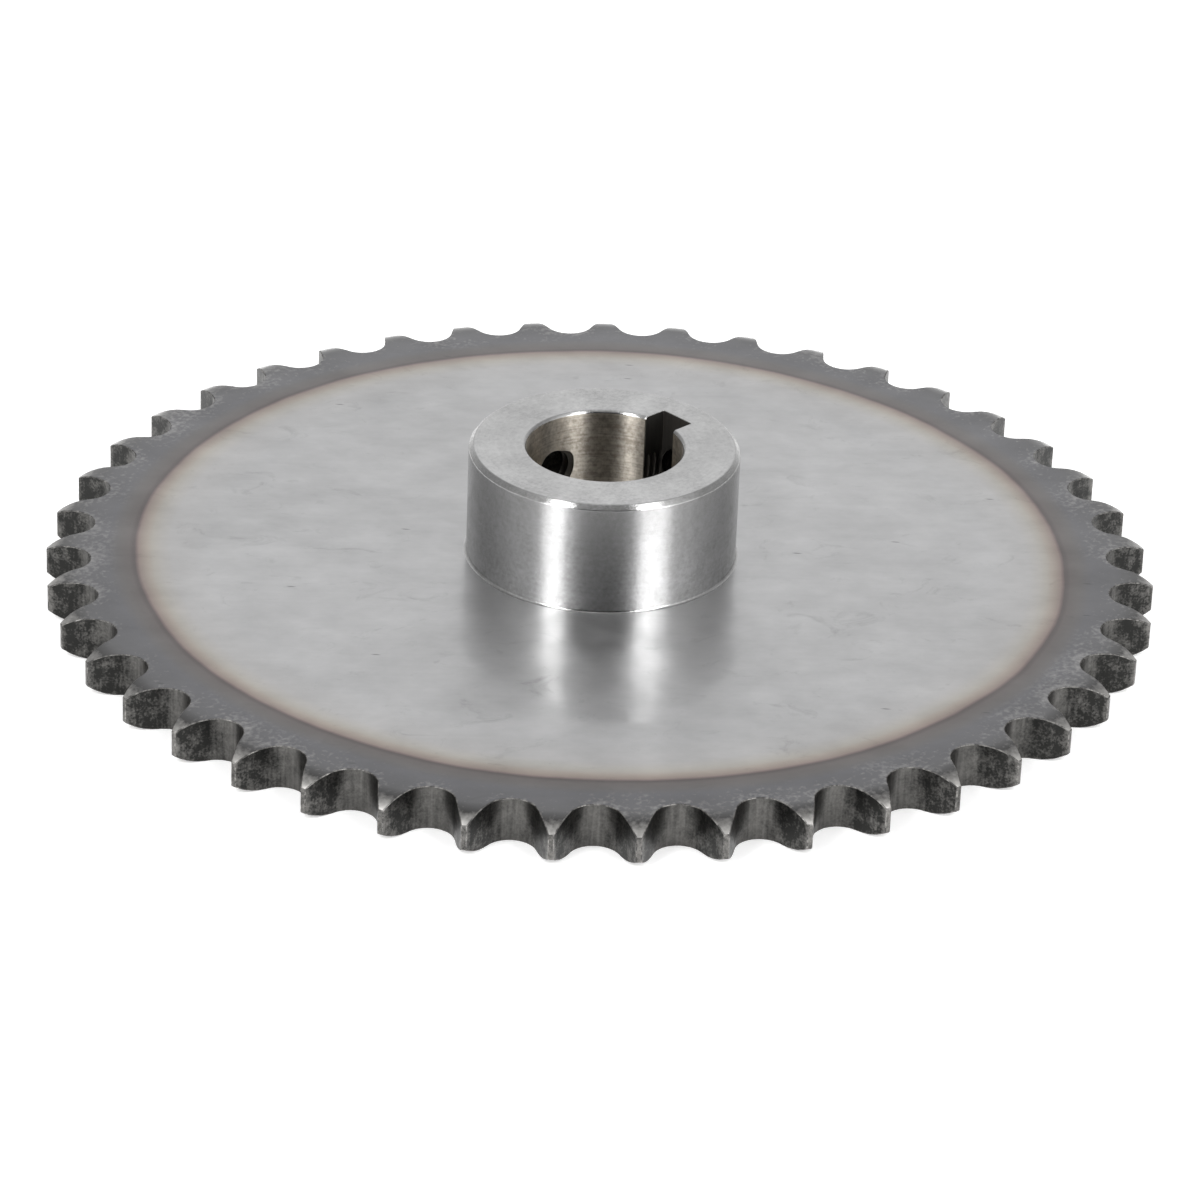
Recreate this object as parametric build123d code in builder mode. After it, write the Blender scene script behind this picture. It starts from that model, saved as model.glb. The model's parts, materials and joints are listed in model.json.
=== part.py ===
from build123d import *
from math import acos, atan2, cos, degrees, hypot, isclose, pi, radians, sin, tan
import os

# Chain sprocket: a plate wheel with a hub on one side, turned and hobbed from one piece of steel, and the two
# set screws that hold it on its shaft. It carries a simple roller chain of 1/2 inch (12.7 mm) pitch.
#
# Sizes are in millimetres. The bore runs along Z. The flat rear face lies at z = 0 and the hub points up.
# The keyway runs along +X, and one tooth gap is centred on it.

os.makedirs("parts", exist_ok=True)

# --- Chain -------------------------------------------------------------------------------------------------
CHAIN_PITCH = 12.7
ROLLER_DIAMETER = 7.92

# --- Teeth -------------------------------------------------------------------------------------------------
TEETH = 43
TOOTH_WIDTH = 7.3
TIP_HEIGHT = 3.2  # from the pitch circle up to the tip circle
SEAT_CLEARANCE = 0.1  # how much larger the roller seat's radius is than the roller's
SEAT_ANGLE = 128.0  # how far the seat wraps round the roller
FLANK_RADIUS = 86.0  # the long convex arc from the seat to the tip
RELIEF_DEPTH = 1.55  # what each side of a tooth has lost at its tip
RELIEF_HEIGHT = 4.65  # how far the side relief reaches in from the tip

# --- Hub and bore ------------------------------------------------------------------------------------------
HUB_DIAMETER = 44.0
HUB_HEIGHT = 19.0  # from the plate's front face to the hub face
HUB_FOOT_FILLET = 0.4
HUB_RIM_CHAMFER = 0.8
BORE_DIAMETER = 25.4
BORE_CHAMFER = 0.4

# --- Keyway ------------------------------------------------------------------------------------------------
KEYWAY_WIDTH = 6.35
KEYWAY_DEPTH = 3.7  # from the bore's wall, on the keyway's centre line

# --- Set screws --------------------------------------------------------------------------------------------
SCREW_DIAMETER = 7.94
SCREW_LENGTH = 6.35
SCREW_CLEARANCE = 0.04  # between the screw and the wall of its hole
SCREW_ANGLE = 86.0  # from the screw over the keyway round to the second one
KEY_SCREW_RECESS = 0.3  # from the keyway's floor back to the key screw's point
SHAFT_SCREW_RECESS = 1.4  # from the bore's wall back to the second screw's point
HOLE_COUNTERSINK = 0.7
POINT_CHAMFER = 1.0
CUP_DIAMETER = 4.3
CUP_ANGLE = 118.0
SOCKET_WIDTH = 3.97  # across the flats
SOCKET_DEPTH = 3.2
SOCKET_CHAMFER = 0.5

# --- Worked out from the sizes above -----------------------------------------------------------------------
CUT_OVERRUN = 1.0  # how far a cutter runs past the metal that it cuts
pitch_radius = CHAIN_PITCH / (2 * sin(pi / TEETH))
tip_radius = pitch_radius + TIP_HEIGHT
seat_radius = ROLLER_DIAMETER / 2 + SEAT_CLEARANCE
relief_radius = (RELIEF_HEIGHT**2 + RELIEF_DEPTH**2) / (2 * RELIEF_DEPTH)
hub_radius = HUB_DIAMETER / 2
bore_radius = BORE_DIAMETER / 2
overall_length = TOOTH_WIDTH + HUB_HEIGHT
keyway_floor = bore_radius + KEYWAY_DEPTH
screw_radius = SCREW_DIAMETER / 2
hole_radius = screw_radius + SCREW_CLEARANCE
screw_height = TOOTH_WIDTH + HUB_HEIGHT / 2


def flank_sweep(reach: float) -> float:
    """Angle in degrees that a flank arc turns through from the end of the seat to the radius `reach`."""
    half_seat = radians(SEAT_ANGLE / 2)
    centre_x = pitch_radius - (seat_radius + FLANK_RADIUS) * cos(half_seat)
    centre_y = (seat_radius + FLANK_RADIUS) * sin(half_seat)
    centre_distance = hypot(centre_x, centre_y)
    to_axis = atan2(-centre_y, -centre_x)
    cosine = (centre_distance**2 + FLANK_RADIUS**2 - reach**2) / (2 * centre_distance * FLANK_RADIUS)
    return degrees(to_axis + acos(cosine) + half_seat)


def radial_plane(angle: float, radius: float = 0.0) -> Plane:
    """Plane at the set screws' height that faces outwards from the bore's axis, `radius` away from it."""
    outwards = Vector(cos(radians(angle)), sin(radians(angle)), 0)
    return Plane(origin=outwards * radius + Vector(0, 0, screw_height), x_dir=(0, 0, 1), z_dir=outwards)


def circles(part: BuildPart, radius: float) -> ShapeList[Edge]:
    """Circular edges of the part that have this radius, from the lowest to the highest."""
    edges = part.edges().filter_by(GeomType.CIRCLE)
    return edges.filter_by(lambda edge: isclose(edge.radius, radius, abs_tol=1e-4)).sort_by(Axis.Z)


# --- Sprocket ----------------------------------------------------------------------------------------------

# One tooth gap: a roller seat between two long flank arcs that run out past the tip circle.
with BuildSketch() as tooth_gap:
    with BuildLine():
        seat = CenterArc((pitch_radius, 0), seat_radius, 180, -SEAT_ANGLE / 2)
        flank = JernArc(seat @ 1, seat % 1, FLANK_RADIUS, flank_sweep(tip_radius + CUT_OVERRUN))
        Line(flank @ 1, ((flank @ 1).X, 0))
        mirror(about=Plane.XZ)
    make_face()

with BuildPart() as sprocket:
    # The blank as it comes off the lathe: plate, rim with curved side relief, and hub.
    with BuildSketch(Plane.XZ):
        with BuildLine():
            rear_face = Line((bore_radius, 0), (tip_radius - RELIEF_HEIGHT, 0))
            rear_relief = RadiusArc(rear_face @ 1, (tip_radius, RELIEF_DEPTH), -relief_radius)
            tip_land = Line(rear_relief @ 1, (tip_radius, TOOTH_WIDTH - RELIEF_DEPTH))
            front_relief = RadiusArc(tip_land @ 1, (tip_radius - RELIEF_HEIGHT, TOOTH_WIDTH), -relief_radius)
            Polyline(
                front_relief @ 1,
                (hub_radius, TOOTH_WIDTH),
                (hub_radius, overall_length),
                (bore_radius, overall_length),
                rear_face @ 0,
            )
        make_face()
    revolve(axis=Axis.Z)
    fillet(circles(sprocket, hub_radius)[0], HUB_FOOT_FILLET)
    chamfer(circles(sprocket, hub_radius)[-1], HUB_RIM_CHAMFER)
    chamfer(circles(sprocket, bore_radius), BORE_CHAMFER)

    # The teeth are left standing between the gaps.
    with BuildSketch():
        with PolarLocations(0, TEETH):
            add(tooth_gap.sketch)
    extrude(amount=TOOTH_WIDTH, mode=Mode.SUBTRACT)

    # Keyway, broached through the whole length after the bore's mouths were chamfered.
    with BuildSketch():
        with Locations((keyway_floor / 2, 0)):
            Rectangle(keyway_floor, KEYWAY_WIDTH)
    extrude(amount=overall_length, mode=Mode.SUBTRACT)

    # Tapped holes for the set screws, drilled from outside into the bore, with a countersunk mouth.
    for angle in (0, SCREW_ANGLE):
        with BuildSketch(radial_plane(angle)):
            Circle(hole_radius)
        extrude(amount=hub_radius, mode=Mode.SUBTRACT)
        with BuildSketch(radial_plane(angle, hub_radius)):
            Circle(hole_radius + HOLE_COUNTERSINK)
        extrude(amount=-HOLE_COUNTERSINK, taper=45, mode=Mode.SUBTRACT)

sprocket.part.label = "sprocket"
export_step(sprocket.part, "parts/sprocket.step")

# --- Set screws --------------------------------------------------------------------------------------------

# Half of a screw's section: X is the distance from its axis, and Y runs from the point to the socket end.
with BuildSketch() as screw_section:
    with BuildLine():
        Polyline(
            (0, CUP_DIAMETER / 2 / tan(radians(CUP_ANGLE / 2))),
            (CUP_DIAMETER / 2, 0),
            (screw_radius - POINT_CHAMFER, 0),
            (screw_radius, POINT_CHAMFER),
            (screw_radius, SCREW_LENGTH - SOCKET_CHAMFER),
            (screw_radius - SOCKET_CHAMFER, SCREW_LENGTH),
            (0, SCREW_LENGTH),
            close=True,
        )
    make_face()

screw_places = {
    "key_set_screw": (0.0, keyway_floor + KEY_SCREW_RECESS),
    "shaft_set_screw": (SCREW_ANGLE, bore_radius + SHAFT_SCREW_RECESS),
}
for name, (angle, point_radius) in screw_places.items():
    point_plane = radial_plane(angle, point_radius)
    with BuildPart() as set_screw:
        section_plane = Plane(point_plane.origin, x_dir=point_plane.x_dir, z_dir=-point_plane.y_dir)
        with BuildSketch(section_plane):
            add(screw_section.sketch)
        revolve(axis=Axis(point_plane.origin, point_plane.z_dir))
        with BuildSketch(radial_plane(angle, point_radius + SCREW_LENGTH)):
            RegularPolygon(SOCKET_WIDTH / 2, 6, major_radius=False)
        extrude(amount=-SOCKET_DEPTH, mode=Mode.SUBTRACT)
    set_screw.part.label = name
    export_step(set_screw.part, f"parts/{name}.step")
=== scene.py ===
"""Looks of a chain sprocket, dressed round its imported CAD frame.

The real thing is turned, hobbed and broached from one piece of medium carbon steel. Its teeth are then
induction hardened, which leaves a blue-grey rim behind a thin line of heat colours, and two black set screws
hold it on its shaft. Sizes are in millimetres and angles in degrees, and MM turns the sizes into metres.
"""
import json
import logging
from collections.abc import Callable, Iterable, Iterator
from contextlib import contextmanager
from dataclasses import dataclass, field
from enum import Enum
from functools import cached_property, partial
from math import acos, asin, atan2, ceil, cos, degrees, hypot, pi, radians, sin, sqrt, tan

import bpy
from bpy.types import Material, MeshPolygon, Node, NodeSocket, NodeTree, Object, World
from mathutils import Matrix, Vector

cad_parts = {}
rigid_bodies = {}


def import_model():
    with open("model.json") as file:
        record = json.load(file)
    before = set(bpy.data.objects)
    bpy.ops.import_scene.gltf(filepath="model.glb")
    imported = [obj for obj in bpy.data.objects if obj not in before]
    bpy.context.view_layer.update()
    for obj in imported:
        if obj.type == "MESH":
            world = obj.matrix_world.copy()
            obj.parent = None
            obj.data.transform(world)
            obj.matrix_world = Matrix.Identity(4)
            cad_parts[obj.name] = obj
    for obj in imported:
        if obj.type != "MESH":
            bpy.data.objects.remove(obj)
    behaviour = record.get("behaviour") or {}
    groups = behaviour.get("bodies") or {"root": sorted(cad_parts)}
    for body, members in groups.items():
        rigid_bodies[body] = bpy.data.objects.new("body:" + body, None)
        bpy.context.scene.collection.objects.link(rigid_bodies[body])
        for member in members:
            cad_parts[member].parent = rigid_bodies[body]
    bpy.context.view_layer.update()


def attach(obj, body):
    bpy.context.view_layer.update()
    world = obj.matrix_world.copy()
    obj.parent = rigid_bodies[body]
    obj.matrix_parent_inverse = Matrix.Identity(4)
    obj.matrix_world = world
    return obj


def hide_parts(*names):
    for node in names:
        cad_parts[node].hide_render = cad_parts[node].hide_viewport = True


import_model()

Span = tuple[float, float]
Size = tuple[float, float, float]
Stop = tuple[float, str]
Stops = tuple[Stop, ...]
Parts = dict[str, Node | NodeSocket]  # what a pattern gives its shader

MM = 0.001
FULL_TURN = 2 * pi
UP = Vector((0, 0, 1))
WELD_DISTANCE = 0.01  # points closer than this are one point
SMOOTH_ANGLE = 40.0  # steeper edges than this stay sharp
OVERRUN = 1.0  # how far a tool placed one by one runs past the metal
CONE_SIDES = 48
WALL = 0.5  # a normal whose Z part is smaller than this belongs to a wall
FLAT = 0.9  # and one whose Z part is larger than this to a flat
NOISE_SPAN = (0.35, 0.65)  # nearly all of a noise's values lie between these

log = logging.getLogger("chain_sprocket")


# --- Modelling by hand ---


def mm(x: float, y: float, z: float) -> Vector:
    """A point or a step given in millimetres, in Blender's metres."""
    return Vector((x, y, z)) * MM


def pick(obj: Object) -> None:
    """Leave only this object selected, and active.

    Args:
        obj: The object.
    """
    for other in list(bpy.context.selected_objects):
        other.select_set(False)
    obj.select_set(True)
    bpy.context.view_layer.objects.active = obj


def select_all() -> None:
    """Select the whole mesh that is being edited."""
    bpy.ops.mesh.select_all(action="SELECT")


def weld() -> None:
    """Make one point of the selected points that lie together."""
    bpy.ops.mesh.remove_doubles(threshold=WELD_DISTANCE * MM)


@contextmanager
def editing(obj: Object) -> Iterator[None]:
    """Work on one object in edit mode, with all of its mesh selected at the start.

    Args:
        obj: The object.
    """
    pick(obj)
    bpy.ops.object.mode_set(mode="EDIT")
    select_all()
    try:
        yield
    finally:
        bpy.ops.object.mode_set(mode="OBJECT")


def settle(obj: Object) -> None:
    """Leave where an object stands in its mesh, so that it is at the origin, unturned and unscaled."""
    pick(obj)
    bpy.ops.object.transform_apply(location=True, rotation=True, scale=True)


def added(name: str) -> Object:
    """Name the primitive that was just added, and move its place into its mesh.

    Args:
        name: The object's new name.

    Returns:
        The object.
    """
    obj = bpy.context.active_object
    obj.name = obj.data.name = name
    settle(obj)
    return obj


def first_vertex(name: str, place: Vector) -> Object:
    """Add a mesh of one vertex, for an outline that is drawn from there.

    Args:
        name: The object's name.
        place: Where the vertex stands, in metres.

    Returns:
        The new object.
    """
    bpy.ops.mesh.primitive_plane_add(size=MM, location=place)
    obj = added(name)
    with editing(obj):
        bpy.ops.mesh.merge(type="CENTER")
    return obj


def sinker(name: str, radius: float, depth: float, over: float, height: float) -> Object:
    """Model a right-angled cone that sinks the mouth of a hole along Z.

    Args:
        name: The tool's name.
        radius: How wide it opens the mouth.
        depth: How far its cut end lies below the mouth.
        over: How far it stands out above the mouth.
        height: Where the mouth lies on Z.

    Returns:
        The tool.
    """
    bpy.ops.mesh.primitive_cone_add(
        vertices=CONE_SIDES, radius1=(radius - depth) * MM, radius2=(radius + over) * MM, depth=(depth + over) * MM,
        location=mm(0, 0, height + (over - depth) / 2))
    return added(name)


def draw(steps: Iterable[Vector]) -> None:
    """Extrude the selected vertices or faces in edit mode by one step after another."""
    for step in steps:
        bpy.ops.mesh.extrude_region_move(TRANSFORM_OT_translate={"value": step})


def sweep_arc(centre: Vector, axis: Vector, angle: float, steps: int) -> None:
    """Spin what is selected, right-handed about an axis. The operator turns left-handed, so its axis is reversed."""
    bpy.ops.mesh.spin(steps=steps, angle=radians(angle), center=centre, axis=-axis)


def close_shell(obj: Object) -> None:
    """Weld the object's doubled points and turn its faces outwards.

    Args:
        obj: The object.
    """
    with editing(obj):
        weld()
        bpy.ops.mesh.normals_make_consistent(inside=False)


def apply_modifier(obj: Object, kind: str, **settings: object) -> None:
    """Add one modifier with these settings and apply it.

    Args:
        obj: The object that is changed.
        kind: Blender's name for the modifier's type.
        settings: The modifier's own settings.
    """
    pick(obj)
    modifier = obj.modifiers.new(kind.title(), kind)
    for name, value in settings.items():
        setattr(modifier, name, value)
    bpy.ops.object.modifier_apply(modifier=modifier.name)


class Cut(Enum):
    """What a boolean does with the tool."""

    AWAY = "DIFFERENCE"
    KEEP_COMMON = "INTERSECT"


def machine(obj: Object, tool: Object, cut: Cut = Cut.AWAY) -> None:
    """Cut an object with a closed tool, then remove the tool."""
    apply_modifier(obj, "BOOLEAN", operation=cut.value, object=tool, solver="EXACT")
    bpy.data.objects.remove(tool)


def copied(obj: Object, name: str) -> Object:
    """Copy an object together with its mesh.

    Args:
        obj: The object.
        name: The copy's name.

    Returns:
        The copy.
    """
    twin = obj.copy()
    twin.data = obj.data.copy()
    twin.name = twin.data.name = name
    bpy.context.scene.collection.objects.link(twin)
    return twin


def smooth(obj: Object) -> None:
    """Shade an object smooth, apart from its sharp edges."""
    pick(obj)
    bpy.ops.object.shade_smooth_by_angle(angle=radians(SMOOTH_ANGLE))


# --- Finishes ---


def linear(colour: str) -> tuple[float, ...]:
    """Turn an sRGB hex colour to Blender's linear values.

    Args:
        colour: Six hex digits, such as "9fa0a2".

    Returns:
        Red, green, blue and a full alpha.
    """
    channels = [int(colour[i : i + 2], 16) / 255 for i in (0, 2, 4)]
    return (*[c / 12.92 if c <= 0.04045 else ((c + 0.055) / 1.055) ** 2.4 for c in channels], 1.0)


def emptied(owner: Material | World) -> NodeTree:
    """Turn a material's or world's nodes on and clear them.

    Args:
        owner: The material or world.

    Returns:
        Its empty node tree.
    """
    owner.use_nodes = True
    owner.node_tree.nodes.clear()
    return owner.node_tree


def add_node(tree: NodeTree, kind: str, *first: object, stops: Iterable[Stop] = (), **others: object) -> Node:
    """Add a node to a tree. An input's value may be an output or a node, and is linked to that then.

    Args:
        tree: The material's or world's node tree.
        kind: The node's type, without the word that all of them start with. A sum's operation follows it.
        first: Values of its first inputs. A map range takes its value, the span of that, and the new span.
        stops: A colour ramp's stops, each its place from 0 to 1 and its hex colour.
        others: Values of other inputs, whose names have a capital, and the node's own settings.

    Returns:
        The new node.
    """
    kind, _, operation = kind.partition(" ")
    made = tree.nodes.new("ShaderNode" + kind)
    if operation:
        made.operation = operation
    values = list(zip(made.inputs, first))
    for name, value in others.items():
        if name[0].isupper():
            values += [(i, value) for i in made.inputs if name in (i.identifier, i.name.replace(" ", "_"))][:1]
        else:
            setattr(made, name, value)
    for socket, value in values:
        if isinstance(value, Node):
            value = value.outputs[0]
        if isinstance(value, NodeSocket):
            tree.links.new(value, socket)
        else:
            socket.default_value = value
    for number, (place, colour) in enumerate(stops):
        ends = made.color_ramp.elements
        stop = ends[number] if number < 2 else ends.new(place)
        stop.position, stop.color = place, linear(colour)
    return made


@dataclass
class Surface:
    """The node tree of one material, and the places that its pattern is drawn by."""

    tree: NodeTree

    @property
    def node(self) -> Callable[..., Node]:
        """What adds a node to the tree."""
        return partial(add_node, self.tree)

    @cached_property
    def place(self) -> Node:
        """Object coordinates in millimetres."""
        return self.node("VectorMath SCALE", self.node("TexCoord").outputs["Object"], Scale=1 / MM)

    @cached_property
    def flat(self) -> Node:
        """The same without their height."""
        return self.node("VectorMath MULTIPLY", self.place, (1, 1, 0))

    @cached_property
    def radius(self) -> NodeSocket:
        """The distance from the axis."""
        return self.node("VectorMath LENGTH", self.flat).outputs["Value"]


@dataclass(frozen=True)
class Finish:
    """A finish on metal: its colours, gloss and the pattern that its making left."""

    name: str
    dark: str = "000000"
    light: str = "ffffff"
    roughness: Span = (0.3, 0.4)  # where the pattern is light, and where it is dark
    anisotropy: float = 0.0
    relief: float = 0.0  # height of the pattern's bumps
    oil: float = 0.0  # how much of a thin film of oil lies on it
    oil_roughness: float = 0.08

    def pattern(self, on: Surface) -> Parts:
        """Add the finish's own pattern.

        Args:
            on: What it is drawn on.

        Returns:
            "shade" from 0, dark, to 1, light, or "colour" and "gloss" instead of it. Then the bumps' "height", and
            where it has a "grain" the direction across that.
        """
        raise NotImplementedError

    def material(self) -> Material:
        """Make the material, whose pattern drives the colour, roughness and bump of one metal shader.

        Returns:
            The material.
        """
        material = bpy.data.materials.new(self.name)
        on = Surface(emptied(material))
        node = on.node
        parts = self.pattern(on)
        colour = parts.get("colour") or node(
            "Mix", parts["shade"], A_Color=linear(self.dark), B_Color=linear(self.light), data_type="RGBA").outputs[2]
        gloss = node("MapRange", parts.get("gloss") or parts["shade"], 0, 1, *self.roughness[::-1])
        bump = node("Bump", Height=parts["height"], Strength=1.0, Distance=self.relief * MM)
        grain = {"Tangent": parts["grain"]} if "grain" in parts else {}
        shader = node(
            "BsdfPrincipled", Base_Color=colour, Metallic=1.0, Roughness=gloss, Anisotropic=self.anisotropy,
            Coat_Weight=self.oil, Coat_Roughness=self.oil_roughness, Normal=bump, Coat_Normal=bump, **grain)
        node("OutputMaterial", Surface=shader)
        return material


@dataclass(frozen=True)
class GroundPlate(Finish):
    """Medium carbon steel plate, ground flat, oiled, then induction hardened at its rim.

    The grinding leaves a grey haze, and the film of oil on it a faint sharp mirror. The heat of the hardening
    leaves a thin line of straw, brown and purple, and a blue-grey oxide outside it. The oxide is rubbed through
    to bright specks along the roots and on the sides of the teeth.
    """

    name: str = "induction_hardened_ground_steel"
    roughness: Span = (0.35, 0.45)
    anisotropy: float = 0.45
    relief: float = 0.5
    oil: float = 1.0
    oil_roughness: float = 0.14

    # The heat line: its colours by their distance from the axis, with the two ends of the row first.
    temper_colours: Stops = (
        (64.0, "b6b6b7"), (88.0, "3e3d3c"), (70.0, "b4b3b3"), (71.8, "b2afab"), (73.0, "aca79f"), (73.8, "a59b91"),
        (74.5, "998d83"), (75.2, "8b7a73"), (75.6, "685552"), (75.85, "443736"), (76.2, "463b3a"), (76.7, "544c4a"),
        (78.2, "575352"), (80.0, "545459"), (84.0, "4f4f53"))
    wander: float = 1.4  # the line wanders up to about 0.4 mm in and out as it goes round
    wander_size: float = 22.0

    # The rubbing.
    rubbed: str = "bebcb9"
    speck_size: float = 0.9
    tips: Span = (87.3, 90.3)  # between these radii it grows to its hardest, on the whole tooth
    tip_wear: float = 1.1
    strip_width: float = 2.0  # round the roots it keeps to a strip of this width along the edges of the gaps
    strip_wear: float = 0.16
    flank_share: float = 0.3  # how much of the strip's wear is left where the roots end
    patch_size: float = 14.0  # it comes in patches of this size
    patch_wear: Span = (-0.25, 0.02)
    oxide_gone: Span = (0.44, 1.35)  # levels of wear where the oxide thins and where it is gone
    reach: Span = (78.5, 81.0)  # it fades out between these radii
    gaps: int = 43
    gap_place: float = 87.0  # how far the centre of a gap's round root lies from the axis
    gap_radius: float = 4.06

    # The grinding: broad clouds, smaller ones drawn out along the grain, and streaks ten times as wide as the
    # real grinding lines, which are too fine to show.
    grain_turn: float = -42.0
    cloud_size: float = 30.0
    drawn_size: Size = (10.0, 7.0, 7.0)
    streak_size: Size = (20.0, 0.5, 1.0)
    streak_share: float = 0.16
    tone_span: Span = (0.68, 1.48)
    tone: Span = (0.85, 1.15)  # colour of the steel in its dark and light clouds
    smudge_scale: float = 1.3
    smudge_span: Span = (0.58, 0.8)
    smudge: float = 0.28  # how much darker a smudge of oil is
    gloss_span: Span = (0.3, 0.7)
    wave_size: float = 16.0  # the plate is not quite flat, so its mirror images waver

    # Dark nicks about 1.6 mm long, in a few of the cells of a grid along the grain.
    nick_cell: Size = (16.0, 4.0, 1.0)
    nick_turn: float = -0.1  # in radians
    nick_odds: float = 0.94  # a cell has one where its random number is above this
    nick_span: Span = (0.02, 0.06)  # where its darkness ends, in cells
    nick: float = 0.5

    def heat_colours(self, on: Surface) -> Node:
        """Add the bright steel inside, the heat line and the oxide outside it.

        Args:
            on: What it is drawn on.

        Returns:
            The colour.
        """
        node = on.node
        start, end = (radius for radius, _ in self.temper_colours[:2])
        noise = node("TexNoise", Vector=on.place, Scale=1 / self.wander_size, Detail=5)
        bent = node("Math MULTIPLY_ADD", noise, self.wander, on.radius)
        zone = node("MapRange", bent, start + self.wander / 2, end + self.wander / 2)
        return node(
            "ValToRGB", Fac=zone, stops=[((r - start) / (end - start), colour) for r, colour in self.temper_colours])

    def strip(self, on: Surface) -> Node:
        """Add the strip along the edges of the gaps.

        Args:
            on: What it is drawn on.

        Returns:
            1 at the edge of a root and 0 at the strip's inner side.
        """
        node = on.node
        sides = node("SeparateXYZ", on.flat)
        azimuth = node("Math ARCTAN2", sides.outputs["Y"], sides)
        half = pi / self.gaps
        turn = node("Math WRAP", azimuth, half, -half)
        way = node("VectorRotate", Vector=(1, 0, 0), Angle=turn, rotation_type="Z_AXIS")
        spot = node("VectorMath SCALE", way, Scale=on.radius)
        away = node("VectorMath DISTANCE", spot, (self.gap_place, 0, 0))
        close = node("MapRange", away.outputs["Value"], self.gap_radius + self.strip_width, self.gap_radius)
        root = node("MapRange", on.radius, self.gap_place, self.gap_place - self.gap_radius, self.flank_share, 1)
        return node("Math MULTIPLY", close, root)

    def rubs(self, on: Surface) -> Node:
        """Add the specks where the oxide is rubbed through, which crowd where the rubbing was hard.

        Args:
            on: What it is drawn on.

        Returns:
            How far the oxide is rubbed through, from 0 to 1.
        """
        node = on.node
        specks = node("TexNoise", Vector=on.place, Scale=1 / self.speck_size, Detail=3, Roughness=0.55)
        tips = node("MapRange", on.radius, *self.tips, 0, self.tip_wear)
        edges = node("Math MULTIPLY_ADD", self.strip(on), self.strip_wear, tips)
        patches = node("TexNoise", Vector=on.place, Scale=1 / self.patch_size, Detail=3)
        lift = node("MapRange", patches, *NOISE_SPAN, *self.patch_wear)
        near = node("Math ADD", specks, edges)
        level = node("Math ADD", near, lift)
        through = node("MapRange", level, *self.oxide_gone)
        inside = node("MapRange", on.radius, *self.reach)
        return node("Math MULTIPLY", through, inside)

    def nicks(self, on: Surface, grain: float) -> Node:
        """Add the nicks.

        Args:
            on: What it is drawn on.
            grain: The direction of the grain in radians.

        Returns:
            How much they darken the steel.
        """
        node = on.node
        turn = (0, 0, grain + self.nick_turn)
        grid = node("Mapping", Vector=on.flat, Rotation=turn, Scale=self.nick_cell, vector_type="TEXTURE")
        cells = node("TexVoronoi", Vector=grid, Scale=1, voronoi_dimensions="2D")
        odds = node("SeparateColor", cells.outputs["Color"])
        chosen = node("Math GREATER_THAN", odds, self.nick_odds)
        nick = node("MapRange", cells, *self.nick_span, self.nick, 0)
        return node("Math MULTIPLY", nick, chosen)

    def pattern(self, on: Surface) -> Parts:
        """Add heat colours and rubs under streaks, clouds, smudges and nicks.

        Args:
            on: What it is drawn on.

        Returns:
            The colour, gloss, height and grain.
        """
        node = on.node
        grain = radians(self.grain_turn)
        steel = node(
            "Mix", self.rubs(on), A_Color=self.heat_colours(on), B_Color=linear(self.rubbed), data_type="RGBA")
        clouds = node("TexNoise", Vector=on.place, Scale=1 / self.cloud_size, Detail=4, Distortion=0.6)
        drawn, along = (
            node("Mapping", Vector=on.place, Rotation=(0, 0, grain), Scale=size, vector_type="TEXTURE")
            for size in (self.drawn_size, self.streak_size))
        patches = node("TexNoise", Vector=drawn, Scale=1, Detail=5, Roughness=0.62)
        streaks = node("TexNoise", Vector=along, Scale=1, Detail=3)
        soft = node("Math ADD", clouds, patches)
        tone = node("Math MULTIPLY_ADD", streaks, self.streak_share, soft)
        shade = node("MapRange", tone, *self.tone_span, *self.tone)
        prints = node("TexNoise", Vector=drawn, Scale=self.smudge_scale, Detail=6, Roughness=0.7, Distortion=1.2)
        smudge = node("MapRange", prints, *self.smudge_span, 0, self.smudge)
        clean = node("Math SUBTRACT", shade, smudge)
        lit = node("Math SUBTRACT", clean, self.nicks(on, grain))
        waves = node("TexNoise", Vector=on.place, Scale=1 / self.wave_size, Detail=1)
        return {
            "colour": node("VectorMath SCALE", steel.outputs[2], Scale=lit).outputs[0],
            "gloss": node("MapRange", patches, *self.gloss_span),
            "height": waves,
            "grain": node("CombineXYZ", -sin(grain), cos(grain))}


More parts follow.
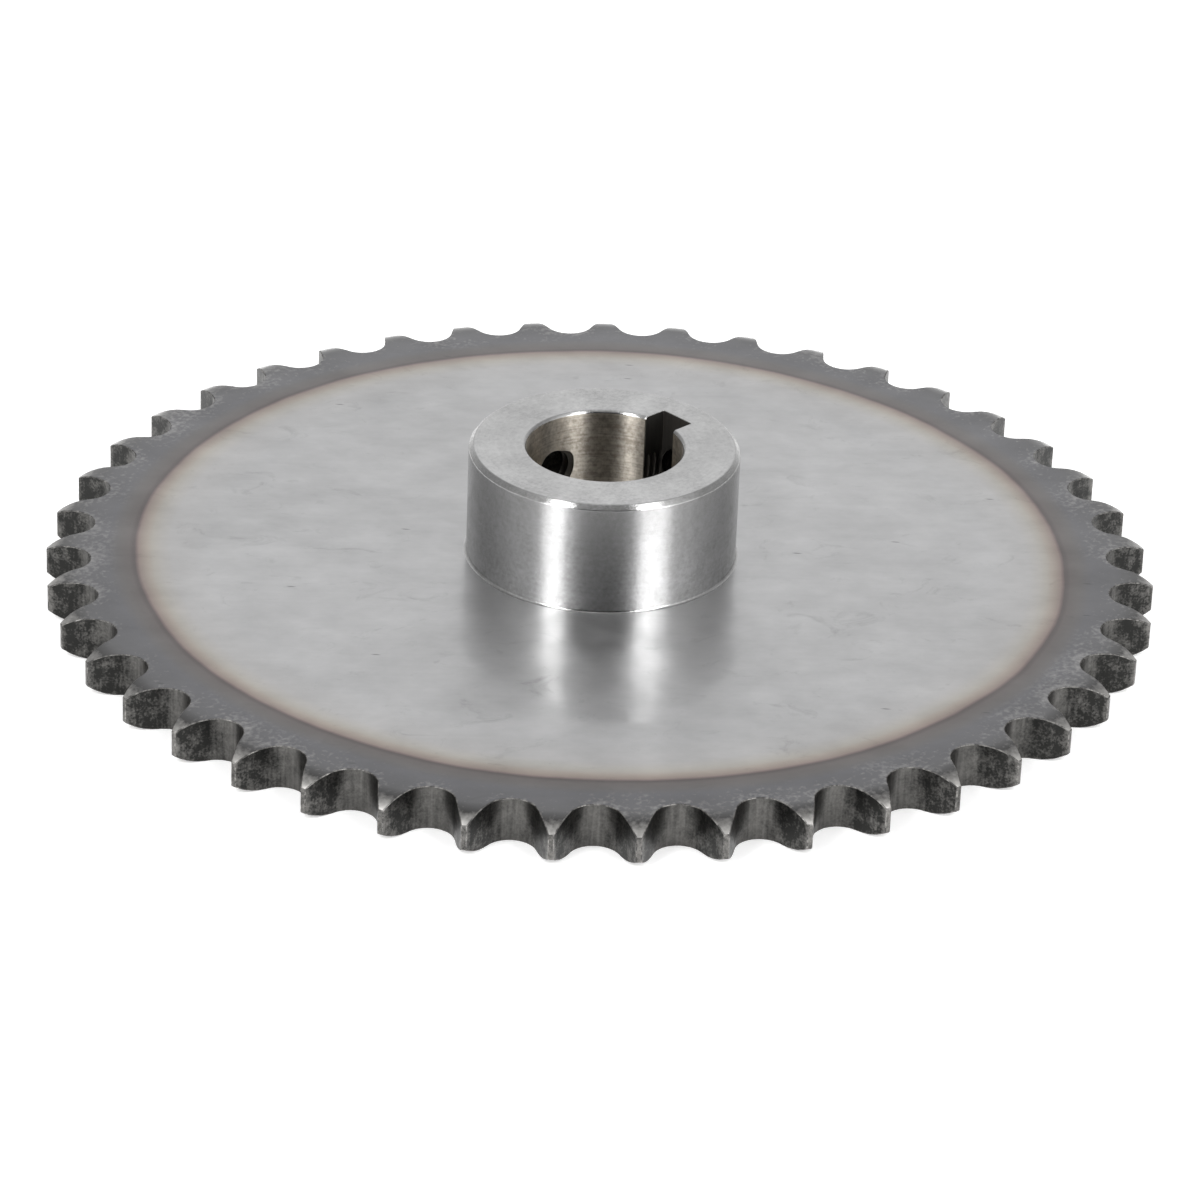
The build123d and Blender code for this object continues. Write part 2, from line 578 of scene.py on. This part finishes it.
@dataclass(frozen=True)
class TurnedSteel(Finish):
    """Medium carbon steel, turned.

    The tool leaves fine rings round the axis, which draw reflections out along it into narrow upright bands,
    and handling leaves small specks that make the bands' edges ragged.
    """

    roughness: Span = (0.15, 0.25)
    anisotropy: float = 1.0
    relief: float = 0.016
    ring_width: float = 0.3  # the real feed is about 0.1 mm, too fine to show
    ring_share: float = 0.5  # how strong the rings are beside the specks
    speck_size: float = 0.7
    stain_size: float = 7.0
    contrast: float = 0.25  # the sum of the noises goes this far either way from its middle

    def pattern(self, on: Surface) -> Parts:
        """Add rings that run right round, specks and stains.

        Args:
            on: What it is drawn on.

        Returns:
            The shade, height and grain.
        """
        node = on.node
        way = node("VectorMath NORMALIZE", on.flat)
        level = node("SeparateXYZ", on.place).outputs["Z"]
        # On a wall the height counts and on a face the radius: their sum is right on both.
        ring = node("Math ADD", on.radius, level)
        rise = node("Math DIVIDE", ring, self.ring_width)
        spiral = node("VectorMath ADD", way, node("CombineXYZ", Z=rise))
        rings = node("TexNoise", Vector=spiral, Scale=1, Detail=2)
        specks = node("TexNoise", Vector=on.place, Scale=1 / self.speck_size, Detail=4, Roughness=0.7)
        stains = node("TexNoise", Vector=on.place, Scale=1 / self.stain_size, Detail=5, Roughness=0.6)
        both = node("Math MULTIPLY_ADD", rings, self.ring_share, specks)
        total = node("Math ADD", both, stains)
        middle = 1 + self.ring_share / 2
        tangent = node("Tangent", direction_type="RADIAL", axis="Z")
        normal = node("NewGeometry").outputs["Normal"]
        return {
            "shade": node("MapRange", total, middle - self.contrast, middle + self.contrast),
            "height": both,
            "grain": node("VectorMath CROSS_PRODUCT", normal, tangent)}


@dataclass(frozen=True)
class HobbedSteel(Finish):
    """Medium carbon steel, cut with a hob and then quenched.

    The hob leaves faint marks along the axis, and the quench a dark scale in fine grains, thickest near the tips.
    The gaps look nearly black and mottled, with faint light streaks from face to face, and paler at the tips.
    """

    dark: str = "30302f"
    light: str = "8d8b88"
    roughness: Span = (0.25, 0.4)
    relief: float = 0.02
    mark_size: Size = (0.6, 0.6, 9.0)
    mark_share: float = 0.5
    grain_size: float = 0.4
    stain_size: float = 2.0
    grain_span: Span = (0.65, 1.35)
    grain_shade: float = 0.4
    scaled: Span = (82.0, 86.0)  # the scale is smooth inside the first radius, grainy past the second
    smooth_share: float = 0.12  # how strong the grains are in the smooth part
    scale_shade: Span = (0.14, -0.2)  # how much lighter the smooth and the grainy part are
    worn: Span = (89.2, 90.2)  # between these radii the tips are worn lighter
    worn_shade: float = 0.35

    def pattern(self, on: Surface) -> Parts:
        """Add marks along the axis, and grains of scale.

        Args:
            on: What it is drawn on.

        Returns:
            The shade and height.
        """
        node = on.node
        along = node("Mapping", Vector=on.place, Scale=self.mark_size, vector_type="TEXTURE")
        marks = node("TexNoise", Vector=along, Scale=1, Detail=2)
        scale = node("TexNoise", Vector=on.place, Scale=1 / self.grain_size, Detail=3, Roughness=0.6)
        stains = node("TexNoise", Vector=on.place, Scale=1 / self.stain_size, Detail=3)
        share = node("MapRange", on.radius, *self.scaled, self.smooth_share, 1)
        rough = node("Math ADD", scale, stains)
        grains = node("MapRange", rough, *self.grain_span, -self.grain_shade, self.grain_shade)
        scaled = node("Math MULTIPLY", grains, share)
        clean = node("MapRange", share, self.smooth_share, 1, *self.scale_shade)
        worn = node("MapRange", on.radius, *self.worn, 0, self.worn_shade)
        lift = node("Math ADD", clean, worn)
        bare = node("Math ADD", scaled, lift)
        return {"shade": node("Math MULTIPLY_ADD", marks, self.mark_share, bare, use_clamp=True), "height": scaled}


@dataclass(frozen=True)
class RubbedSteel(Finish):
    """Steel with a dark skin partly rubbed off, so that specks of lighter metal show through."""

    relief: float = 0.01
    speck_size: float = 0.6
    rubbed: Span = (0.42, 0.68)  # noise levels where the rubbing starts and where it is complete

    def pattern(self, on: Surface) -> Parts:
        """Add specks of bare steel.

        Args:
            on: What it is drawn on.

        Returns:
            The shade and height.
        """
        node = on.node
        specks = node("TexNoise", Vector=on.place, Scale=1 / self.speck_size, Detail=4, Roughness=0.7)
        return {"shade": node("MapRange", specks, *self.rubbed), "height": specks}


@dataclass(frozen=True)
class PaleFloor:
    """White acrylic on a light table: fully matt and lit from below, so it takes hardly any shadow."""

    colour: str = "f4f4f4"
    glow: float = 0.5  # radiance from below
    covered: float = 0.06  # in metres: the table's lamps are covered this far from the middle, under the object
    lit: float = 0.09

    def material(self) -> Material:
        """Make the material.

        Returns:
            The material.
        """
        material = bpy.data.materials.new("white_acrylic")
        node = partial(add_node, emptied(material))
        place = node("TexCoord").outputs["Object"]
        away = node("VectorMath LENGTH", place).outputs["Value"]
        glow = node("MapRange", away, self.covered, self.lit, 0, self.glow)
        white = linear(self.colour)
        shader = node("BsdfPrincipled", Base_Color=white, Roughness=1.0, Specular_IOR_Level=0.0,
                      Emission_Color=white, Emission_Strength=glow)
        node("OutputMaterial", Surface=shader)
        return material


class Zone(Enum):
    """The surfaces of the sprocket, each with the finish of its material slot."""

    PLATE = GroundPlate()
    HUB = TurnedSteel("turned_hub_steel", "a6a6a5", "c6c6c6", ring_share=0.3)
    # Faced off with a fine feed, so brighter and smoother than the wall.
    FACE = TurnedSteel("faced_hub_steel", "b2b2b2", "c6c6c6", (0.18, 0.25), relief=0.005, ring_share=0.3)
    # Bored with a long bar, so duller, with fine rings and a brownish film of old oil.
    BORE = TurnedSteel("bored_steel", "8f887e", "d0c9be", (0.43, 0.48))
    # Broached along the axis: torn marks that way. Its dark colours are painted shade, for the deep shade inside the
    # keyway.
    KEYWAY = HobbedSteel("broached_steel", "4a4845", "7c7874", (0.4, 0.6))
    # Tapped: torn and oily. Its dark colours are painted shade, so it is nearly black inside the holes.
    THREAD = HobbedSteel("tapped_steel", "4e4c4a", "8a8884", (0.3, 0.5))
    FLANK = HobbedSteel("hobbed_flanks")
    # Edges broken by tumbling: scale that is knocked off in specks, so a broken light line.
    EDGE = RubbedSteel("worn_edges", "545352", "a09e9b", (0.4, 0.6), speck_size=0.9)

    @property
    def slot(self) -> int:
        """Number of the zone's material slot."""
        return list(Zone).index(self)


# --- Sub-assemblies ---


@dataclass
class Thread:
    """A right-hand thread round Z, with a crest on +X at z = 0."""

    pitch: float = 25.4 / 18
    major_radius: float = 3.97
    minor_radius: float = 3.12
    flank_angle: float = 30.0  # half of the thread's own angle
    crest_share: float = 0.125  # how much of the pitch the flat crest takes
    steps_per_turn: int = 32
    spare_turns: int = 2  # beyond each end, before the ends are cut off

    def rod(self, name: str, start: float, end: float) -> Object:
        """Model a closed threaded rod.

        Args:
            name: The object's name.
            start: Where the rod begins on Z.
            end: Where it ends.

        Returns:
            The rod.
        """
        first_turn = int(start // self.pitch) - self.spare_turns
        turns = ceil(end / self.pitch) + self.spare_turns - first_turn
        height = self.major_radius - self.minor_radius
        flank = height * tan(radians(self.flank_angle))
        crest = self.pitch * self.crest_share
        root = self.pitch - crest - 2 * flank
        rod = first_vertex(name, mm(self.minor_radius, 0, first_turn * self.pitch - flank - crest / 2))
        with editing(rod):
            draw([mm(height, 0, flank), mm(0, 0, crest), mm(-height, 0, flank), mm(0, 0, root)])
        apply_modifier(rod, "SCREW", screw_offset=self.pitch * MM, iterations=turns, steps=self.steps_per_turn)
        with editing(rod):
            weld()
            bpy.ops.mesh.bisect(plane_co=mm(0, 0, start), plane_no=UP, use_fill=True, clear_inner=True)
            select_all()
            bpy.ops.mesh.bisect(plane_co=mm(0, 0, end), plane_no=UP, use_fill=True, clear_outer=True)
        close_shell(rod)
        return rod


@dataclass
class Teeth:
    """The tooth row: roller seats hobbed into the rim, between teeth whose sides are relieved."""

    count: int = 43
    chain_pitch: float = 12.7
    roller_diameter: float = 7.92
    seat_clearance: float = 0.1
    seat_angle: float = 128.0
    flank_radius: float = 86.0
    tip_height: float = 3.2
    width: float = 7.3
    relief_depth: float = 1.55
    relief_height: float = 4.65
    relief_steps: int = 5
    seat_steps: int = 14
    flank_steps: int = 3
    overrun: float = 0.5  # how far the cutter runs past the metal

    @property
    def pitch_radius(self) -> float:
        """Radius of the circle that the chain's pins follow."""
        return self.chain_pitch / (2 * sin(pi / self.count))

    @property
    def tip_radius(self) -> float:
        """Radius over the teeth."""
        return self.pitch_radius + self.tip_height

    @property
    def seat_radius(self) -> float:
        """Radius of a roller's seat."""
        return self.roller_diameter / 2 + self.seat_clearance

    @property
    def root_radius(self) -> float:
        """Radius at the bottom of the gaps."""
        return self.pitch_radius - self.seat_radius

    @property
    def relief_radius(self) -> float:
        """Radius of the arc that relieves each side of the teeth."""
        return (self.relief_height**2 + self.relief_depth**2) / (2 * self.relief_depth)

    @property
    def relief_sweep(self) -> float:
        """Angle of that arc."""
        return degrees(asin(self.relief_height / self.relief_radius))

    def seat_end(self, side: int, away: float) -> Vector:
        """A point on the line from the seat's centre through its end on side 1 or -1, this far from the centre."""
        half_seat = radians(self.seat_angle / 2)
        return mm(self.pitch_radius - away * cos(half_seat), side * away * sin(half_seat), -self.overrun)

    def flank_sweep(self) -> float:
        """Work out how far a flank arc turns, from the seat's end to just past the tip circle.

        Returns:
            The angle.
        """
        centre = self.seat_end(1, self.seat_radius + self.flank_radius) / MM
        reach = self.tip_radius + self.overrun
        distance = hypot(centre.x, centre.y)
        cosine = (distance**2 + self.flank_radius**2 - reach**2) / (2 * distance * self.flank_radius)
        return degrees(atan2(-centre.y, -centre.x) + acos(cosine)) + self.seat_angle / 2

    def gap_tool(self) -> Object:
        """Model the cutter for all the gaps: one outline, raised and copied round the axis.

        Returns:
            The cutter, with a closed shell for each gap.
        """
        upper_centre, lower_centre = (self.seat_end(side, self.seat_radius + self.flank_radius) for side in (1, -1))
        lower_end = self.seat_end(-1, self.seat_radius)
        turn = Matrix.Rotation(radians(-self.flank_sweep()), 3, "Z")
        tool = first_vertex("gap_tool", lower_centre + turn @ (lower_end - lower_centre))
        with editing(tool):
            sweep_arc(lower_centre, UP, self.flank_sweep(), self.flank_steps)
            sweep_arc(mm(self.pitch_radius, 0, 0), UP, -self.seat_angle, self.seat_steps)
            sweep_arc(upper_centre, UP, self.flank_sweep(), self.flank_steps)
            select_all()
            bpy.ops.mesh.edge_face_add()
            draw([mm(0, 0, self.width + 2 * self.overrun)])
            select_all()
            bpy.ops.mesh.spin(dupli=True, steps=self.count - 1, angle=FULL_TURN * (1 - 1 / self.count), axis=UP)
        close_shell(tool)
        return tool


@dataclass
class Hub:
    """The hub on the front of the plate, with its bore, keyway and tapped holes."""

    diameter: float = 44.0
    height: float = 19.0
    foot_fillet: float = 0.4
    foot_steps: int = 4
    rim_chamfer: float = 0.8
    bore_diameter: float = 25.4
    bore_chamfer: float = 0.4
    keyway_width: float = 6.35
    keyway_depth: float = 3.7
    countersink: float = 0.7
    screw_angles: Span = (0.0, 86.0)

    @property
    def keyway_floor(self) -> float:
        """How far the keyway's floor lies from the axis."""
        return self.bore_diameter / 2 + self.keyway_depth


@dataclass
class Sprocket:
    """The sprocket itself, turned as one blank and then cut."""

    teeth: Teeth = field(default_factory=Teeth)
    hub: Hub = field(default_factory=Hub)
    tapped: Thread = field(default_factory=lambda: Thread(major_radius=4.01, minor_radius=3.25, crest_share=0.16))
    key_screw_recess: float = 0.3  # from the keyway's floor back to the screw's point
    shaft_screw_recess: float = 1.4  # from the bore's wall back to the screw's point
    sink_margin: float = 0.05  # how far a countersink's cut end lies inside the thread
    edge_break: float = 0.14  # width of the rounding on every sharp edge
    edge_steps: int = 3
    edge_angle: float = 35.0  # an edge steeper than this is rounded
    wedges_per_tooth: int = 2

    # How the faces of each surface are told apart.
    rim_margin: float = 0.5  # the rim's surfaces begin this far inside the roots
    hole_margin: float = 0.1  # a hole's surfaces end this far outside its countersink
    touch: float = 0.02  # a face may lie this far off the surface that it belongs to
    square: float = 0.97  # a face that faces the axis more squarely than this isn't a hole's
    keyway_reach: float = 18.0  # the keyway's corners lie nearer the axis than this

    @property
    def length(self) -> float:
        """Overall length along the axis."""
        return self.teeth.width + self.hub.height

    def blank(self) -> Object:
        """Turn the blank: draw half its section and spin it round the axis.

        Returns:
            The blank.
        """
        teeth, hub = self.teeth, self.hub
        bore, radius = hub.bore_diameter / 2, hub.diameter / 2
        relief_start = teeth.tip_radius - teeth.relief_height
        across = Vector((0, 1, 0))
        relief = (across, -teeth.relief_sweep, teeth.relief_steps)
        body = first_vertex("sprocket_body", mm(bore, 0, hub.bore_chamfer))
        with editing(body):
            draw([mm(hub.bore_chamfer, 0, -hub.bore_chamfer), mm(relief_start - bore - hub.bore_chamfer, 0, 0)])
            sweep_arc(mm(relief_start, 0, teeth.relief_radius), *relief)
            draw([mm(0, 0, teeth.width - 2 * teeth.relief_depth)])
            sweep_arc(mm(relief_start, 0, teeth.width - teeth.relief_radius), *relief)
            draw([mm(radius + hub.foot_fillet - relief_start, 0, 0)])
            sweep_arc(mm(radius + hub.foot_fillet, 0, teeth.width + hub.foot_fillet), across, 90, hub.foot_steps)
            draw([mm(0, 0, hub.height - hub.foot_fillet - hub.rim_chamfer),
                  mm(-hub.rim_chamfer, 0, hub.rim_chamfer),
                  mm(bore + hub.bore_chamfer + hub.rim_chamfer - radius, 0, 0),
                  mm(-hub.bore_chamfer, 0, -hub.bore_chamfer),
                  mm(0, 0, 2 * hub.bore_chamfer - self.length)])
            select_all()
            weld()
            sweep_arc(Vector(), UP, 360, teeth.count * self.wedges_per_tooth)
        close_shell(body)
        return body

    def keyway_tool(self) -> Object:
        """Model the broach that cuts the keyway.

        Returns:
            The broach.
        """
        size = (self.hub.keyway_floor, self.hub.keyway_width, self.length + 2 * self.teeth.overrun)
        bpy.ops.mesh.primitive_cube_add(size=MM, location=mm(size[0] / 2, 0, self.length / 2), scale=size)
        return added("keyway_tool")

    def hole_place(self, angle: float) -> Matrix:
        """Where a hole's own Z axis lies: outwards from the bore's axis, at mid height of the hub."""
        middle = Matrix.Translation(mm(0, 0, self.teeth.width + self.hub.height / 2))
        return middle @ Matrix.Rotation(radians(angle), 4, "Z") @ Matrix.Rotation(radians(90), 4, "Y")

    def tapped_hole_tools(self, angle: float) -> list[Object]:
        """Model the tap and the countersink for one hole, in place.

        Args:
            angle: Where the hole lies round the hub, from the keyway.

        Returns:
            The two tools.
        """
        hub = self.hub
        mouth = self.tapped.major_radius + hub.countersink
        depth = mouth - self.tapped.minor_radius + self.sink_margin
        tools = [self.tapped.rod("tap", hub.bore_diameter / 4, hub.diameter / 2 + 2 * OVERRUN),
                 sinker("countersink", mouth, depth, OVERRUN, hub.diameter / 2)]
        for tool in tools:
            tool.matrix_world = self.hole_place(angle)
            settle(tool)
        return tools

    def zone(self, face: MeshPolygon) -> Zone:
        """Tell which surface a face belongs to, by its place and normal.

        Args:
            face: A face of the finished body.

        Returns:
            The zone whose finish it takes.
        """
        teeth, hub = self.teeth, self.hub
        centre, normal = face.center / MM, face.normal
        outwards = Vector((centre.x, centre.y, 0)).normalized()
        radius, facing = hypot(centre.x, centre.y), normal.dot(outwards)
        if radius > teeth.root_radius - self.rim_margin:
            if face.material_index == Zone.EDGE.slot:
                return Zone.EDGE
            return Zone.FLANK if abs(normal.z) < WALL else Zone.PLATE
        if radius > hub.diameter / 2 + hub.foot_fillet - self.touch and abs(normal.z) > FLAT:
            return Zone.PLATE
        hole_radius = self.tapped.major_radius + hub.countersink + self.hole_margin
        for angle in hub.screw_angles:
            near = self.hole_place(angle).inverted() @ face.center / MM
            if near.z > 0 and hypot(near.x, near.y) < hole_radius and abs(facing) < self.square:
                return Zone.THREAD
        in_keyway = 0 < centre.x and radius < self.keyway_reach and abs(centre.y) <= hub.keyway_width / 2 + self.touch
        if in_keyway and abs(normal.z) < WALL:
            return Zone.KEYWAY
        if radius < hub.bore_diameter / 2 + self.touch:
            return Zone.BORE
        return Zone.FACE if normal.z > FLAT else Zone.HUB

    def screw_places(self) -> dict[str, Matrix]:
        """Work out where the set screws stand, each in phase with its hole's thread.

        Returns:
            Their places, by the name of the node that each stands for.
        """
        seats = (self.hub.keyway_floor + self.key_screw_recess, self.hub.bore_diameter / 2 + self.shaft_screw_recess)
        places = {}
        for name, angle, depth in zip(("key_set_screw", "shaft_set_screw"), self.hub.screw_angles, seats):
            in_phase = Matrix.Rotation(FULL_TURN * depth / self.tapped.pitch, 4, "Z")
            places[name] = self.hole_place(angle) @ Matrix.Translation(mm(0, 0, depth)) @ in_phase
        return places

    def build(self) -> Object:
        """Turn, hob, broach, deburr and tap the sprocket.

        Returns:
            The finished body.
        """
        body = self.blank()
        for zone in Zone:
            body.data.materials.append(zone.value.material())
        machine(body, self.teeth.gap_tool())
        machine(body, self.keyway_tool())
        with editing(body):
            weld()
            bpy.ops.mesh.dissolve_degenerate(threshold=WELD_DISTANCE * MM)
        apply_modifier(
            body, "BEVEL", width=self.edge_break * MM, segments=self.edge_steps, limit_method="ANGLE",
            angle_limit=radians(self.edge_angle), use_clamp_overlap=False, miter_outer="MITER_ARC",
            material=Zone.EDGE.slot)
        for angle in self.hub.screw_angles:
            for tool in self.tapped_hole_tools(angle):
                machine(body, tool)
        for face in body.data.polygons:
            face.material_index = self.zone(face).slot
        smooth(body)
        apply_modifier(body, "WEIGHTED_NORMAL", mode="FACE_AREA", keep_sharp=True)
        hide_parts("sprocket")
        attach(body, "root")
        return body


@dataclass
class SetScrew:
    """A cup point set screw with a hexagon socket, standing on its point at the origin.

    It is alloy steel, hardened and blackened in a hot bath of salts, which leaves a thin dull black oxide. The
    oxide looks almost black, with specks of dark grey where the screw was handled and driven.
    """

    finish: RubbedSteel = RubbedSteel("black_oxide_steel", "141415", "3a3836", (0.3, 0.45))
    thread: Thread = field(default_factory=Thread)
    length: float = 6.35
    point_chamfer: float = 1.0
    cup_diameter: float = 4.3
    cup_angle: float = 118.0
    socket_width: float = 3.97  # across the flats
    socket_depth: float = 3.2
    socket_chamfer: float = 0.5  # on the screw's outer edge
    mouth_chamfer: float = 0.18  # on the socket's own edge
    mouth_overrun: float = 0.2
    over: float = 0.3  # how far the turned envelope stands outside the thread

    @property
    def corner(self) -> float:
        """How far the socket's corners lie from its axis."""
        return self.socket_width / sqrt(3)

    def envelope(self) -> Object:
        """Turn the closed outline that the thread is cut in: cup, point chamfer, wall and end chamfer.

        Returns:
            The outline's shell.
        """
        cup, radius = self.cup_diameter / 2, self.thread.major_radius
        flat = radius - self.point_chamfer
        cup_depth = cup / tan(radians(self.cup_angle / 2))
        wall = radius + self.over
        end_flat = radius - self.socket_chamfer
        blank = first_vertex("envelope", mm(0, 0, cup_depth))
        with editing(blank):
            draw([mm(cup, 0, -cup_depth), mm(flat - cup, 0, 0), mm(wall - flat, 0, wall - flat),
                  mm(0, 0, self.length - (wall - flat) - (wall - end_flat)), mm(end_flat - wall, 0, wall - end_flat),
                  mm(-end_flat, 0, 0)])
            select_all()
            sweep_arc(Vector(), UP, 360, self.thread.steps_per_turn)
        close_shell(blank)
        return blank

    def hexagon(self) -> Object:
        """Model the punch that forms the socket.

        Returns:
            The punch.
        """
        height = self.socket_depth + OVERRUN
        middle = mm(0, 0, self.length - self.socket_depth + height / 2)
        bpy.ops.mesh.primitive_cylinder_add(vertices=6, radius=self.corner * MM, depth=height * MM, location=middle)
        return added("hexagon")

    def build(self) -> Object:
        """Thread the screw, point it and form its socket.

        Returns:
            The screw.
        """
        screw = self.thread.rod("set_screw_body", -OVERRUN, self.length + OVERRUN)
        machine(screw, self.envelope(), Cut.KEEP_COMMON)
        machine(screw, self.hexagon())
        mouth = self.corner + self.mouth_chamfer
        machine(screw, sinker("mouth", mouth, 2 * self.mouth_chamfer, self.mouth_overrun, self.length))
        close_shell(screw)
        screw.data.materials.append(self.finish.material())
        return screw

    def fit(self, screw: Object, node: str, place: Matrix) -> Object:
        """Screw one into its hole, in place of its CAD node.

        Args:
            screw: The finished screw, standing on its point.
            node: The CAD node that it stands for.
            place: Where it goes.

        Returns:
            The screw in its place.
        """
        screw.matrix_world = place
        settle(screw)
        smooth(screw)
        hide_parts(node)
        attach(screw, "root")
        return screw


# --- Studio ---


def towards(azimuth: float, elevation: float) -> Vector:
    """The way from the object to a place round it. Azimuths run from the keyway's side, as the camera's does."""
    turn, rise = radians(azimuth), radians(elevation)
    return Vector((sin(turn) * cos(rise), -cos(turn) * cos(rise), sin(rise)))


@dataclass(frozen=True)
class SoftBox:
    """An area lamp that hangs round the object and faces it, with its lengths in metres."""

    name: str
    azimuth: float  # from the camera to its right
    elevation: float
    distance: float
    size: Span  # width and height
    radiance: float

    def hang(self, turn: float) -> None:
        """Hang the lamp.

        Args:
            turn: The camera's azimuth.
        """
        bpy.ops.object.light_add(type="AREA")
        lamp = bpy.context.active_object
        lamp.name = self.name
        way = towards(turn + self.azimuth, self.elevation)
        lamp.location = way * self.distance
        lamp.rotation_mode = "QUATERNION"
        lamp.rotation_quaternion = (-way).to_track_quat("-Z", "Y")
        lamp.data.shape = "RECTANGLE"
        lamp.data.size, lamp.data.size_y = self.size
        lamp.data.energy = self.radiance * pi * self.size[0] * self.size[1]
        lamp.visible_camera = False


@dataclass
class Studio:
    """A white floor, soft boxes, the room round them and the camera."""

    turn: float = -44.5  # the camera's azimuth, from the keyway's side
    elevation: float = 27.374
    roll: float = 2.209
    distance: float = 886.5
    focal_share: float = 5432.1 / 1200  # focal length over the picture's width
    aim_height: float = 7.3
    shift: Span = (-0.00064, -0.0421)
    clip: Span = (0.05, 50.0)  # in metres, as the floor's size is
    floor_size: float = 12.0
    boxes: tuple[SoftBox, ...] = (
        SoftBox("left_low_box", -40, 14, 1.0, (0.32, 0.34), 4.0),
        SoftBox("left_high_box", -40, 42, 1.0, (0.24, 0.42), 13.5),
        SoftBox("right_low_box", 44.5, 14, 1.0, (0.44, 0.34), 4.4),
        SoftBox("right_high_box", 44.5, 42, 1.0, (0.28, 0.42), 8),
        SoftBox("overhead_box", 0, 88, 1.2, (0.9, 0.5), 0.3))
    # Grey levels round the room, by the azimuth from the camera to its right, with the two ends of each row first.
    walls: Stops = (
        (-180, "9b9b9b"), (180, "9b9b9b"), (-150, "818181"), (-120, "595959"), (-95, "656565"), (-75, "868686"),
        (-55, "7e7e7e"), (-35, "5a5a5a"), (-18, "242424"), (0, "222222"), (18, "121212"), (35, "505050"),
        (55, "b5b5b5"), (75, "9b9b9b"), (95, "767676"), (120, "616161"), (150, "818181"))
    ceiling: Stops = (
        (-180, "6f6f6f"), (180, "6f6f6f"), (-90, "868686"), (0, "7e7e7e"), (90, "696969"))
    cove: Span = (52, 72)  # between these elevations the walls turn into the ceiling
    brightest: float = 3.0  # radiance of a white stop

    def camera(self) -> None:
        """Stand the camera and make it the scene's."""
        bpy.ops.object.camera_add()
        camera = bpy.context.active_object
        camera.name = "camera"
        way = towards(self.turn, self.elevation)
        camera.location = mm(0, 0, self.aim_height) + way * self.distance * MM
        camera.rotation_mode = "QUATERNION"
        camera.rotation_quaternion = (
            (-way).to_track_quat("-Z", "Y") @ Matrix.Rotation(radians(self.roll), 3, "Z").to_quaternion())
        camera.data.lens = camera.data.sensor_width * self.focal_share
        camera.data.shift_x, camera.data.shift_y = self.shift
        camera.data.clip_start, camera.data.clip_end = self.clip
        bpy.context.scene.camera = camera

    def floor(self) -> None:
        """Lay the floor."""
        bpy.ops.mesh.primitive_plane_add(size=self.floor_size)
        floor = added("floor")
        floor.data.materials.append(PaleFloor().material())

    def world(self) -> None:
        """Fill the room with soft white light from its walls and ceiling."""
        world = bpy.data.worlds.new("studio")
        bpy.context.scene.world = world
        node = partial(add_node, emptied(world))
        way = node("TexCoord").outputs["Generated"]
        ahead, aside = (
            node("VectorMath DOT_PRODUCT", way, towards(self.turn + right, 0)).outputs["Value"]
            for right in (0, 90))
        azimuth = node("Math ARCTAN2", aside, ahead)
        share = node("MapRange", azimuth, -pi, pi)
        walls, ceiling = (
            node("ValToRGB", Fac=share, stops=[(0.5 + turn / 360, colour) for turn, colour in stops])
            for stops in (self.walls, self.ceiling))
        cove = (sin(radians(rise)) for rise in self.cove)
        height = node("SeparateXYZ", way).outputs["Z"]
        overhead = node("MapRange", height, *cove, interpolation_type="SMOOTHSTEP")
        room = node("Mix", overhead, A_Color=walls, B_Color=ceiling, data_type="RGBA")
        light = node("Background", Color=room.outputs[2], Strength=self.brightest)
        node("OutputWorld", Surface=light)
        bpy.context.scene.view_settings.view_transform = "Standard"

    def build(self) -> None:
        """Set up the whole studio."""
        self.floor()
        for box in self.boxes:
            box.hang(self.turn)
        self.world()
        self.camera()


def main() -> None:
    """Build the sprocket's pieces and the studio."""
    sprocket = Sprocket()
    body = sprocket.build()
    log.info("sprocket_body: %d faces", len(body.data.polygons))
    screw = SetScrew()
    first = screw.build()
    for node, place in sprocket.screw_places().items():
        twin = screw.fit(copied(first, node.replace("set_screw", "screw_body")), node, place)
        log.info("%s: %d faces", twin.name, len(twin.data.polygons))
    bpy.data.objects.remove(first)
    Studio().build()


if __name__ == "__main__":
    logging.basicConfig(level=logging.INFO, format="%(name)s: %(message)s")
    main()
